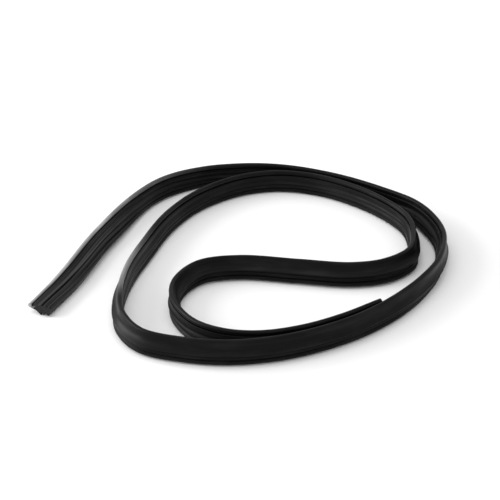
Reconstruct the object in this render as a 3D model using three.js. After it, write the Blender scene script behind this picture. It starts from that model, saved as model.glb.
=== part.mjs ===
// Dishwasher door seal: one extruded strip of black rubber, cut square at both ends and laid
// loosely on a table. Millimetres, +Z up. The strip starts at its free left-hand end, runs round
// the back, the right and the front, in again behind itself, and ends inside the front stretch.
import * as THREE from 'three';

// Foot: the barbed rib that is pushed into the groove of the tub
const barbCount = 2;
const barbPitch = 3.1;
const barbHalfWidth = 3.0;
const barbTipHeight = 0.8;
const stemHalfWidth = 1.5;

// Body: a long wall that flares into a skirt on each side of the foot
const sectionHeight = 20;
const skirtReachOuter = 5.6;
const skirtReachInner = 4.6;
const skirtEdge = 1.0;
const skirtLift = 1.2;
const neckHalfWidth = 1.4;

// Bead: the round rim that the door presses on, with a groove cut below it on one side
const beadRadius = 2.1;
const beadOffset = 0.7;
const grooveWidth = 0.8;
const grooveFloor = 0.6;
const beadSteps = 7;
const wallSteps = 4;

// Rest: how the strip lies, upright along its bends and rolled over towards its ends
const endRoll = 78;
const startRollLength = 360;
const finishRollLength = 230;
const rollPivotHeight = 9;

// Stations along the strip: fine in the bends, wider apart where it runs straight
const stationTurn = 10;
const stationLength = 40;
const routeSamples = 1600;

// Route of the strip on the table, seen from above
const route = [
  [-167, -98], [-149, -46], [-124, 12], [-82, 94], [-46, 119], [-9, 128], [29, 127], [66, 116],
  [103, 97], [137, 69], [157, 35], [164, -5], [157, -41], [141, -73], [118, -106], [88, -136],
  [55, -157], [22, -170], [-16, -176], [-54, -171], [-83, -157], [-101, -130], [-107, -96],
  [-103, -58], [-90, -15], [-71, 34], [-45, 74], [-9, 102], [28, 110], [64, 101], [98, 80],
  [124, 54], [138, 26], [142, -3], [135, -29], [113, -50], [84, -59], [40, -55], [-8, -49],
  [-42, -55], [-58, -70], [-63, -90], [-59, -114], [-44, -137], [-19, -150], [9, -152],
  [41, -143], [74, -124], [110, -95],
];

const footHeight = barbCount * barbPitch;
const skirtBase = footHeight + 0.3;
const beadHeight = sectionHeight - beadRadius;
const grooveTop = beadHeight - 0.75 * beadRadius;
const grooveBottom = grooveTop - grooveWidth;

/** One side of the barbed foot, from the bottom up: each barb slopes out to a short upright tip. */
function footSide(side) {
  const points = [];
  for (let barb = 0; barb < barbCount; barb += 1) {
    const base = barb * barbPitch;
    points.push([side * stemHalfWidth, base]);
    points.push([side * barbHalfWidth, base + 0.5 * barbPitch]);
    points.push([side * barbHalfWidth, base + 0.5 * barbPitch + barbTipHeight]);
  }
  return points;
}

/** Points on a quadratic curve that starts at a, bends towards b and ends at c. */
function bend(a, b, c, steps) {
  const curve = new THREE.QuadraticBezierCurve(
    new THREE.Vector2(...a), new THREE.Vector2(...b), new THREE.Vector2(...c));
  return curve.getPoints(steps).map((point) => [point.x, point.y]);
}

/** The bead's rim, an arc from the groove round over the top to the plain side. */
function beadRim() {
  const points = [];
  for (let step = 0; step <= beadSteps; step += 1) {
    const angle = THREE.MathUtils.degToRad(-48 + (228 * step) / beadSteps);
    points.push([beadOffset + beadRadius * Math.cos(angle), beadHeight + beadRadius * Math.sin(angle)]);
  }
  return points;
}

/** The whole section, anticlockwise, with its foot down: x to the side, y up. */
function sectionOutline() {
  const innerWall = bend(
    [skirtReachInner, skirtBase + skirtEdge],
    [skirtReachInner - 0.6, grooveBottom - 2.5],
    [neckHalfWidth + 1.4, grooveBottom], wallSteps);
  const outerWall = bend(
    [beadOffset - beadRadius - 0.3, grooveTop - 0.6],
    [-neckHalfWidth - 0.4, skirtBase + skirtLift + 3.4],
    [-skirtReachOuter, skirtBase + skirtEdge], wallSteps);
  return [
    ...footSide(1),
    [stemHalfWidth, skirtBase + 0.5 * skirtLift],
    [skirtReachInner - 0.4, skirtBase],
    ...innerWall,
    [grooveFloor, grooveBottom],
    [grooveFloor, grooveTop],
    ...beadRim(),
    ...outerWall,
    [-skirtReachOuter + 0.3, skirtBase],
    [-stemHalfWidth, skirtBase + skirtLift],
    ...footSide(-1).reverse(),
  ];
}

/** Roll of the section in degrees at a distance along the strip, its top towards the outside. */
function rollAt(distance, total) {
  const fromStart = 1 - THREE.MathUtils.smoothstep(distance, 0, startRollLength);
  const fromFinish = 1 - THREE.MathUtils.smoothstep(total - distance, 0, finishRollLength);
  return endRoll * Math.max(fromStart, fromFinish);
}

/** Stations along the route: position, direction and roll, closer together where it turns. */
function stationsAlong(points) {
  const curve = new THREE.CatmullRomCurve3(
    points.map(([x, y]) => new THREE.Vector3(x, y, 0)), false, 'centripetal');
  curve.arcLengthDivisions = routeSamples;
  const total = curve.getLength();
  const stations = [];
  let turned = Infinity;
  let travelled = Infinity;
  let before = curve.getTangentAt(0);
  for (let sample = 0; sample <= routeSamples; sample += 1) {
    const share = sample / routeSamples;
    const tangent = curve.getTangentAt(share);
    turned += THREE.MathUtils.radToDeg(before.angleTo(tangent));
    travelled += total / routeSamples;
    before = tangent;
    const last = sample === routeSamples;
    if (last || turned / stationTurn + travelled / stationLength >= 1) {
      stations.push({ place: curve.getPointAt(share), tangent, roll: rollAt(share * total, total) });
      turned = 0;
      travelled = 0;
    }
  }
  return stations;
}

/** The section at one station: rolled about its middle and set down so that it rests on the table. */
function placeSection(outline, station) {
  const roll = THREE.MathUtils.degToRad(station.roll);
  const rolled = outline.map(([across, height]) => {
    const above = height - rollPivotHeight;
    return [
      across * Math.cos(roll) - above * Math.sin(roll),
      across * Math.sin(roll) + above * Math.cos(roll),
    ];
  });
  const lowest = Math.min(...rolled.map(([, height]) => height));
  const { place, tangent } = station;
  return rolled.map(([across, height]) => [
    place.x + across * tangent.y,
    place.y - across * tangent.x,
    height - lowest,
  ]);
}

/** Closed body swept from the outline through all stations, with a flat cut face at each end. */
function sweep(outline, stations) {
  const count = outline.length;
  const positions = stations.flatMap((station) => placeSection(outline, station)).flat();
  const faces = [];
  for (let row = 0; row + 1 < stations.length; row += 1) {
    for (let column = 0; column < count; column += 1) {
      const next = (column + 1) % count;
      const a = row * count + column;
      const b = row * count + next;
      const c = a + count;
      const d = b + count;
      faces.push(a, c, d, a, d, b);
    }
  }
  const flat = outline.map(([across, height]) => new THREE.Vector2(across, height));
  const lastRow = (stations.length - 1) * count;
  for (const [p, q, r] of THREE.ShapeUtils.triangulateShape(flat, [])) {
    faces.push(p, q, r);
    faces.push(lastRow + p, lastRow + r, lastRow + q);
  }
  const geometry = new THREE.BufferGeometry();
  geometry.setAttribute('position', new THREE.Float32BufferAttribute(positions, 3));
  geometry.setIndex(faces);
  geometry.computeVertexNormals();
  return geometry;
}

/** The strip, with its origin under the middle of the space that it takes up. */
function doorSeal() {
  const geometry = sweep(sectionOutline(), stationsAlong(route));
  geometry.computeBoundingBox();
  const middle = geometry.boundingBox.getCenter(new THREE.Vector3());
  geometry.translate(-middle.x, -middle.y, 0);
  const rubber = new THREE.MeshStandardMaterial({ color: 0x141415, roughness: 0.55, metalness: 0 });
  const seal = new THREE.Mesh(geometry, rubber);
  seal.name = 'door_seal';
  return seal;
}

const dishwasherDoorSeal = new THREE.Group();
dishwasherDoorSeal.add(doorSeal());

export default dishwasherDoorSeal;
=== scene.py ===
import math

import bpy
import numpy as np
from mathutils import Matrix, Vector


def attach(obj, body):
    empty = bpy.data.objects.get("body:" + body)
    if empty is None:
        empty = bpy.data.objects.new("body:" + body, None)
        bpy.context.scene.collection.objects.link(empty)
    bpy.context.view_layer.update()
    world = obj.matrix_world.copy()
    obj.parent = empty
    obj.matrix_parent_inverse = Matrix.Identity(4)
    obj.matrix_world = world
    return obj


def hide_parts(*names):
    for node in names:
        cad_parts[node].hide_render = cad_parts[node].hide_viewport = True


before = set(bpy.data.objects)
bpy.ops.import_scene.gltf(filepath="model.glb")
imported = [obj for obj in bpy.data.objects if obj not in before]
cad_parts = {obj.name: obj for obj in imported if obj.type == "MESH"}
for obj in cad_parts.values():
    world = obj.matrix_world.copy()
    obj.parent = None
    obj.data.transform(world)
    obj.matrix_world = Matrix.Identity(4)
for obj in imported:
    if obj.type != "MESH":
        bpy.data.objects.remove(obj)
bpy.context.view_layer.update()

# The dishwasher door seal: one black rubber strip, laid in loose loops on a pale table.
# Lengths of the section and the route are millimetres here, and metres in the finished meshes.

MILLIMETRE = 0.001

# Where the strip runs on the table, seen from above, and the middle of the space it takes up
ROUTE = np.array([
    (-170, -105.5), (-147, -52.5), (-124.8, 10.5), (-85.5, 89.5), (-47, 117.5), (-9, 126.5),
    (29, 124.5), (66, 112.5), (104, 91.5), (139, 62), (157.5, 28.5), (165, -5), (158, -44),
    (142.3, -76), (118.3, -108.7), (88.5, -136.3), (55, -157), (22, -170), (-16, -176),
    (-54, -171.5), (-85.5, -159), (-102.5, -132.5), (-106.5, -97), (-102, -60), (-89.5, -17.5),
    (-71.5, 33), (-46, 73), (-8, 102), (28, 110), (64, 101.3), (97.2, 79.8), (123.8, 51.6),
    (138.5, 24.3), (140.8, -6), (135.3, -33), (114, -52), (84, -58.7), (40, -53.2), (-8, -46.7),
    (-40, -53.7), (-57, -74.5), (-62.3, -96), (-58, -119.5), (-42.5, -144), (-18.5, -157.5),
    (9, -160.3), (41, -152.5), (73, -136.5), (105.2, -114.2),
], dtype=float)
ROUTE_MIDDLE = np.array([-3.735, -23.705])

# How far the section is rolled over at a distance along the strip: (distance, degrees)
ROLLS = np.array([
    (0, 86), (110, 55), (210, 12), (300, -8), (440, -8), (500, 20), (560, 12), (670, -8),
    (900, -8), (1040, 14), (1150, 5), (1380, 5), (1460, -20), (1600, -15), (1700, 0), (1900, 8),
], dtype=float)
ROLL_PIVOT = 9.0
STATIONS = 900
CURVE_STEPS = 60

# The section: barbed foot, skirts, wall, groove and bead. Widths are measured from its middle.
HEIGHT = 20.4
BARBS = 2
BARB_PITCH = 3.7
BARB_REACH = 4.1
STEM = 2.6
SKIRT_BASE = 7.9
SKIRT_EDGE = 1.0
SKIRT_OUTER = 5.6
SKIRT_INNER = 4.6
WALL_TOP = 2.7
WAIST = 2.75
WAIST_DROP = 3.3
BEAD_RADIUS = 2.1
BEAD_OFFSET = 0.7
BEAD_DROP = 1.6
GROOVE_WIDTH = 1.0
GROOVE_FLOOR = 0.6
# Depth below the top, and fade, of the bead mask that carries the painted sheen
LIP_DEPTH = 3.4
LIP_FADE = 0.8
CORNER = 0.28
SHARP_CORNER = -0.92
SHARP_EDGE_DEGREES = 62

# Painted sheen, a paler base colour that stands in for reflected light, by distance along the strip
# in metres: the free leg and the left-hand bend
LEG_FROM, LEG_TO = 0.06, 0.30
LEFT_TURN = 0.975
TURN_BEFORE, TURN_AFTER = 0.04, 0.09


# Photo: camera, table and light, in metres and watts
LENS = 123.05
SENSOR = 36.0
CAMERA_TARGET = (0.003735, 0.023705, 0.0)
CAMERA_REACH = 1.48
CAMERA_RISE_DEGREES = 30
TABLE_HALF = 6.0
TABLE_DROP = 0.0002
ROOM_STRENGTH = 0.86


def bend(start, pull, end, steps):
    """Quadratic curve: (1-t)^2 start + 2t(1-t) pull + t^2 end, at evenly spaced t."""
    t = np.linspace(0, 1, steps)[:, None]
    start, pull, end = np.array(start), np.array(pull), np.array(end)
    return (1 - t) ** 2 * start + 2 * t * (1 - t) * pull + t ** 2 * end


def foot_side(side):
    """Barbs one above the other: stem, sloping flank, short upright tip, and so on up."""
    base = BARB_PITCH * np.arange(BARBS)[:, None]
    across = side * np.array([STEM, BARB_REACH, BARB_REACH])
    up = BARB_PITCH * np.array([0.0, 0.3, 0.7])
    return np.stack([np.tile(across, BARBS), (base + up).ravel()], axis=1)


def soften(points, reach):
    """Each sharp corner is cut back by reach on both sides and rounded with a short curve."""
    before = np.roll(points, 1, axis=0) - points
    after = np.roll(points, -1, axis=0) - points
    long_before = np.linalg.norm(before, axis=1, keepdims=True)
    long_after = np.linalg.norm(after, axis=1, keepdims=True)
    from_side = points + before * np.minimum(reach / long_before, 0.4)
    to_side = points + after * np.minimum(reach / long_after, 0.4)
    turn = np.einsum("ij,ij->i", before, after) / (long_before * long_after).ravel()
    sharp = turn > SHARP_CORNER
    middle = 0.25 * from_side + 0.5 * points + 0.25 * to_side
    rounded = np.stack([from_side, middle, to_side], axis=1)
    keep = np.stack([sharp, np.ones_like(sharp), sharp], axis=1)
    rounded[~sharp, 1] = points[~sharp]
    return rounded[keep]


def section():
    """The outline of the strip, anticlockwise with its foot down: foot, skirt, wall, groove,
    an arc of a circle for the bead, the plain wall, skirt and foot."""
    bead_height = HEIGHT - BEAD_RADIUS
    groove_top = bead_height - BEAD_DROP
    groove_bottom = groove_top - GROOVE_WIDTH
    waist = (WAIST, groove_bottom - WAIST_DROP)
    inner_wall = np.concatenate([
        bend((SKIRT_INNER, SKIRT_BASE + SKIRT_EDGE), (2.9, SKIRT_BASE + 1.9), waist, 9)[:-1],
        bend(waist, (3.5, groove_bottom - 0.6), (WALL_TOP, groove_bottom), 7)])
    angle = np.radians(np.linspace(-48, 180, 20))
    bead = np.stack([BEAD_OFFSET + BEAD_RADIUS * np.cos(angle),
                     bead_height + BEAD_RADIUS * np.sin(angle)], axis=1)
    outer_wall = bend((BEAD_OFFSET - BEAD_RADIUS - 0.3, groove_top - 0.6),
                      (-1.8, SKIRT_BASE + 4.6), (-SKIRT_OUTER, SKIRT_BASE + SKIRT_EDGE), 12)
    outline = np.concatenate([
        foot_side(1), [(STEM, SKIRT_BASE + 0.6), (SKIRT_INNER - 0.4, SKIRT_BASE)], inner_wall,
        [(GROOVE_FLOOR, groove_bottom), (GROOVE_FLOOR, groove_top)], bead, outer_wall,
        [(0.4 - SKIRT_OUTER, SKIRT_BASE), (-STEM, SKIRT_BASE + 1.2)], foot_side(-1)[::-1],
    ])
    return soften(outline, CORNER)


def path(points, count):
    """Centripetal curve through the points: on each span a cubic whose end slopes come from the
    neighbours, with time running as the square root of distance. Returns count places at even
    distances, the directions there, and the distances."""
    ends = np.concatenate([[2 * points[0] - points[1]], points, [2 * points[-1] - points[-2]]])
    a, b, c, d = ends[:-3], ends[1:-2], ends[2:-1], ends[3:]
    p = np.sqrt(np.linalg.norm(b - a, axis=1, keepdims=True))
    q = np.sqrt(np.linalg.norm(c - b, axis=1, keepdims=True))
    r = np.sqrt(np.linalg.norm(d - c, axis=1, keepdims=True))
    leave = ((b - a) / p - (c - a) / (p + q) + (c - b) / q) * q
    arrive = ((c - b) / q - (d - b) / (q + r) + (d - c) / r) * q
    t = np.linspace(0, 1, CURVE_STEPS, endpoint=False)[None, :, None]
    b, c, leave, arrive = (v[:, None, :] for v in (b, c, leave, arrive))
    fine = b + leave * t + (3 * (c - b) - 2 * leave - arrive) * t ** 2
    fine = fine + (2 * (b - c) + leave + arrive) * t ** 3
    fine = np.concatenate([fine.reshape(-1, 2), points[-1:]])
    run = np.concatenate([[0], np.cumsum(np.linalg.norm(np.diff(fine, axis=0), axis=1))])
    at = np.linspace(0, run[-1], count)
    places = np.stack([np.interp(at, run, fine[:, 0]), np.interp(at, run, fine[:, 1])], axis=1)
    slope = np.gradient(places, at, axis=0)
    return places, slope / np.linalg.norm(slope, axis=1, keepdims=True), at


def roll_at(run):
    """Degrees of roll, eased between the stated ones by 3s^2 - 2s^3."""
    upper = np.clip(np.searchsorted(ROLLS[:, 0], run, side="right"), 1, len(ROLLS) - 1)
    start, end = ROLLS[upper - 1], ROLLS[upper]
    s = np.clip((run - start[:, 0]) / (end[:, 0] - start[:, 0]), 0, 1)
    return start[:, 1] + (end[:, 1] - start[:, 1]) * s * s * (3 - 2 * s)


def lay_strip():
    """The strip's surface: the outline is carried along the path, rolled about its middle and
    set down until its lowest point is on the table. Returns points, distance, girth, and how
    far each point of the outline belongs to the bead."""
    outline = section()
    places, along, run = path(ROUTE, STATIONS)
    roll = np.radians(roll_at(run))[:, None]
    across, above = outline[:, 0][None, :], outline[:, 1][None, :] - ROLL_PIVOT
    side = across * np.cos(roll) - above * np.sin(roll)
    up = across * np.sin(roll) + above * np.cos(roll)
    up = up - up.min(axis=1, keepdims=True)
    x = places[:, :1] + side * along[:, 1:] - ROUTE_MIDDLE[0]
    y = places[:, 1:] - side * along[:, :1] - ROUTE_MIDDLE[1]
    points = np.stack([x, y, up], axis=2) * MILLIMETRE
    step = np.linalg.norm(np.diff(outline, axis=0), axis=1)
    girth = np.concatenate([[0], np.cumsum(step)]) * MILLIMETRE
    # How far each outline point belongs to the bead: the mask for the painted sheen
    lip = np.clip((outline[:, 1] - HEIGHT + LIP_DEPTH) / LIP_FADE, 0, 1)
    return points, run * MILLIMETRE, girth, lip


def strip_mesh(name):
    """Grid of quads round and along the strip, with one flat face over each cut end."""
    points, run, girth, lip = lay_strip()
    rows, around = points.shape[:2]
    row = np.arange(rows - 1)[:, None] * around
    here = np.arange(around)[None, :]
    following = (here + 1) % around
    quads = np.stack([row + here, row + around + here, row + around + following,
                      row + following], axis=2).reshape(-1, 4)
    last = (rows - 1) * around
    ends = [list(range(around)), list(range(last, last + around))[::-1]]
    mesh = bpy.data.meshes.new(name)
    mesh.from_pydata(points.reshape(-1, 3).tolist(), [], quads.tolist() + ends)
    for label, values in (("run", np.repeat(run, around)), ("girth", np.tile(girth, rows)),
                          ("lip", np.tile(lip, rows))):
        layer = mesh.attributes.new(label, "FLOAT", "POINT")
        layer.data.foreach_set("value", values.astype(np.float32))
    mesh.shade_smooth()
    mesh.set_sharp_from_angle(angle=math.radians(SHARP_EDGE_DEGREES))
    mesh.validate()
    return mesh


class Shade:
    """A shader value in a material: arithmetic on it adds Math nodes."""

    def __init__(self, tree, socket=None):
        self.tree = tree
        self.socket = socket

    def node(self, kind, settings=None, values=None, output=0):
        """Any other node: its type, its settings, then the values or links of its sockets."""
        made = self.tree.nodes.new(kind)
        for name, value in (settings or {}).items():
            setattr(made, name, value)
        for name, value in (values or {}).items():
            if isinstance(value, Shade):
                self.tree.links.new(value.socket, made.inputs[name])
            else:
                made.inputs[name].default_value = value
        return Shade(self.tree, made.outputs[output] if made.outputs else None)

    def math(self, operation, first, second):
        return self.node("ShaderNodeMath", {"operation": operation}, {0: first, 1: second})

    def __add__(self, other):
        return self.math("ADD", self, other)

    __radd__ = __add__

    def __mul__(self, other):
        return self.math("MULTIPLY", self, other)

    __rmul__ = __mul__

    def __sub__(self, other):
        return self.math("SUBTRACT", self, other)

    def __rsub__(self, other):
        return self.math("SUBTRACT", other, self)

    def ramp(self, low, high):
        """0 below low, 1 above high, eased between."""
        return self.node("ShaderNodeMapRange", {"interpolation_type": "SMOOTHSTEP"},
                         {"Value": self, "From Min": low, "From Max": high})


def rubber_material():
    """Black extruded rubber: dull sheen, fine die lines along the strip, faint patches, and a
    painted sheen: a paler base colour on the bead and the wall on the free leg and in the left-hand
    bend, painted in for reflected light."""
    material = bpy.data.materials.new("black_rubber")
    material.use_nodes = True
    tree = material.node_tree
    tree.nodes.clear()
    shade = Shade(tree)
    run = shade.node("ShaderNodeAttribute", {"attribute_name": "run"}, output=2)
    girth = shade.node("ShaderNodeAttribute", {"attribute_name": "girth"}, output=2)
    lines_at = shade.node("ShaderNodeCombineXYZ", None, {"X": run * 6.0, "Y": girth * 1500.0})
    lines = shade.node("ShaderNodeTexNoise", None,
                       {"Vector": lines_at, "Scale": 1.0, "Detail": 3.0, "Roughness": 0.6})
    patch_at = shade.node("ShaderNodeCombineXYZ", None, {"X": run * 28.0, "Y": girth * 120.0})
    patches = shade.node("ShaderNodeTexNoise", None,
                         {"Vector": patch_at, "Scale": 1.0, "Detail": 4.0}).ramp(0.42, 0.68)
    lip = shade.node("ShaderNodeAttribute", {"attribute_name": "lip"}, output=2)
    leg = 1 - run.ramp(LEG_FROM, LEG_TO)
    turn_starts = run.ramp(LEFT_TURN - TURN_BEFORE, LEFT_TURN)
    turn_ends = run.ramp(LEFT_TURN, LEFT_TURN + TURN_AFTER)
    turn = turn_starts * (1 - turn_ends)
    # Painted highlight: the die lines are made paler on the free leg and in the left-hand bend, for
    # a streaky reflection
    painted_streak_highlight = (leg * 0.16 + turn * 0.24) * lines.ramp(0.45, 0.65)
    # Painted sheen: the bead is made paler on the free leg and, less, in the left-hand bend
    painted_sheen = lip * (leg + turn * 0.5) * (0.75 + 0.5 * patches) + painted_streak_highlight
    place = shade.node("ShaderNodeTexCoord", output=3)
    grain = shade.node("ShaderNodeTexNoise", None,
                       {"Vector": place, "Scale": 2600.0, "Detail": 2.0})
    tint = shade.node("ShaderNodeMix", {"data_type": "RGBA"},
                      {0: lines.ramp(0.35, 0.75) * 0.5 + patches * 0.5,
                       6: (0.0015, 0.0015, 0.0016, 1.0), 7: (0.011, 0.011, 0.0114, 1.0)}, output=2)
    # The painted sheen lightens the base colour towards pale grey
    tint = shade.node("ShaderNodeMix", {"data_type": "RGBA"},
                      {0: painted_sheen, 6: tint, 7: (0.34, 0.34, 0.34, 1.0)}, output=2)
    height = lines * 0.6 + grain * 0.4
    bump = shade.node("ShaderNodeBump", None,
                      {"Strength": 0.35, "Distance": 0.00012, "Height": height})
    surface = shade.node("ShaderNodeBsdfPrincipled", None,
                         {"Base Color": tint, "Roughness": 0.4 - patches * 0.12 + lines * 0.08,
                          "Normal": bump, "Specular IOR Level": 0.1})
    shade.node("ShaderNodeOutputMaterial", None, {"Surface": surface})
    return material


def plain_material(name, colour, roughness):
    """A plain surface of one colour."""
    material = bpy.data.materials.new(name)
    material.use_nodes = True
    surface = material.node_tree.nodes["Principled BSDF"]
    surface.inputs["Base Color"].default_value = (*colour, 1.0)
    surface.inputs["Roughness"].default_value = roughness
    return material


def add_object(name, data):
    """A new object at the origin that shows this data."""
    made = bpy.data.objects.new(name, data)
    bpy.context.scene.collection.objects.link(made)
    return made


def aim(thing, target):
    """Turns a lamp or camera so that it looks at the target."""
    thing.rotation_euler = (Vector(target) - thing.location).to_track_quat("-Z", "Y").to_euler()


def soft_lamp(name, place, target, size, power):
    """A large square lamp that gives soft light."""
    lamp = bpy.data.lights.new(name, "AREA")
    lamp.shape = "RECTANGLE"
    lamp.size, lamp.size_y = size
    lamp.energy = power
    made = add_object(name, lamp)
    made.location = place
    aim(made, target)
    return made


def table_top():
    """A flat pale table under the strip."""
    mesh = bpy.data.meshes.new("table_top")
    corners = [(x * TABLE_HALF, y * TABLE_HALF, 0) for x, y in ((-1, -1), (1, -1), (1, 1), (-1, 1))]
    mesh.from_pydata(corners, [], [(0, 1, 2, 3)])
    mesh.materials.append(plain_material("pale_table", (0.93, 0.93, 0.93), 0.8))
    made = add_object("table_top", mesh)
    made.location.z = -TABLE_DROP
    return made


def studio():
    """White surroundings, a broad lamp on the left and a weaker one overhead."""
    world = bpy.data.worlds.new("white_room")
    world.use_nodes = True
    room = world.node_tree.nodes["Background"]
    room.inputs["Color"].default_value = (1.0, 1.0, 1.0, 1.0)
    room.inputs["Strength"].default_value = ROOM_STRENGTH
    bpy.context.scene.world = world
    bpy.context.scene.view_settings.view_transform = "Standard"
    soft_lamp("left_lamp", (-1.55, 0.15, 0.62), (0, 0, 0), (1.6, 1.0), 26)
    soft_lamp("top_lamp", (-0.3, 0.3, 1.9), (0, 0, 0), (1.8, 1.4), 7)


def camera():
    """Looks down at 30 degrees from 1.48 m away at a point a little behind the strip's middle."""
    lens = bpy.data.cameras.new("photo_camera")
    lens.lens = LENS
    lens.sensor_width = SENSOR
    made = add_object("photo_camera", lens)
    target = Vector(CAMERA_TARGET)
    rise = math.radians(CAMERA_RISE_DEGREES)
    made.location = target + CAMERA_REACH * Vector((0, -math.cos(rise), math.sin(rise)))
    aim(made, target)
    bpy.context.scene.camera = made


strip = add_object("rubber_strip", strip_mesh("rubber_strip"))
strip.data.materials.append(rubber_material())
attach(strip, "root")
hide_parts("door_seal")

table_top()
studio()
camera()
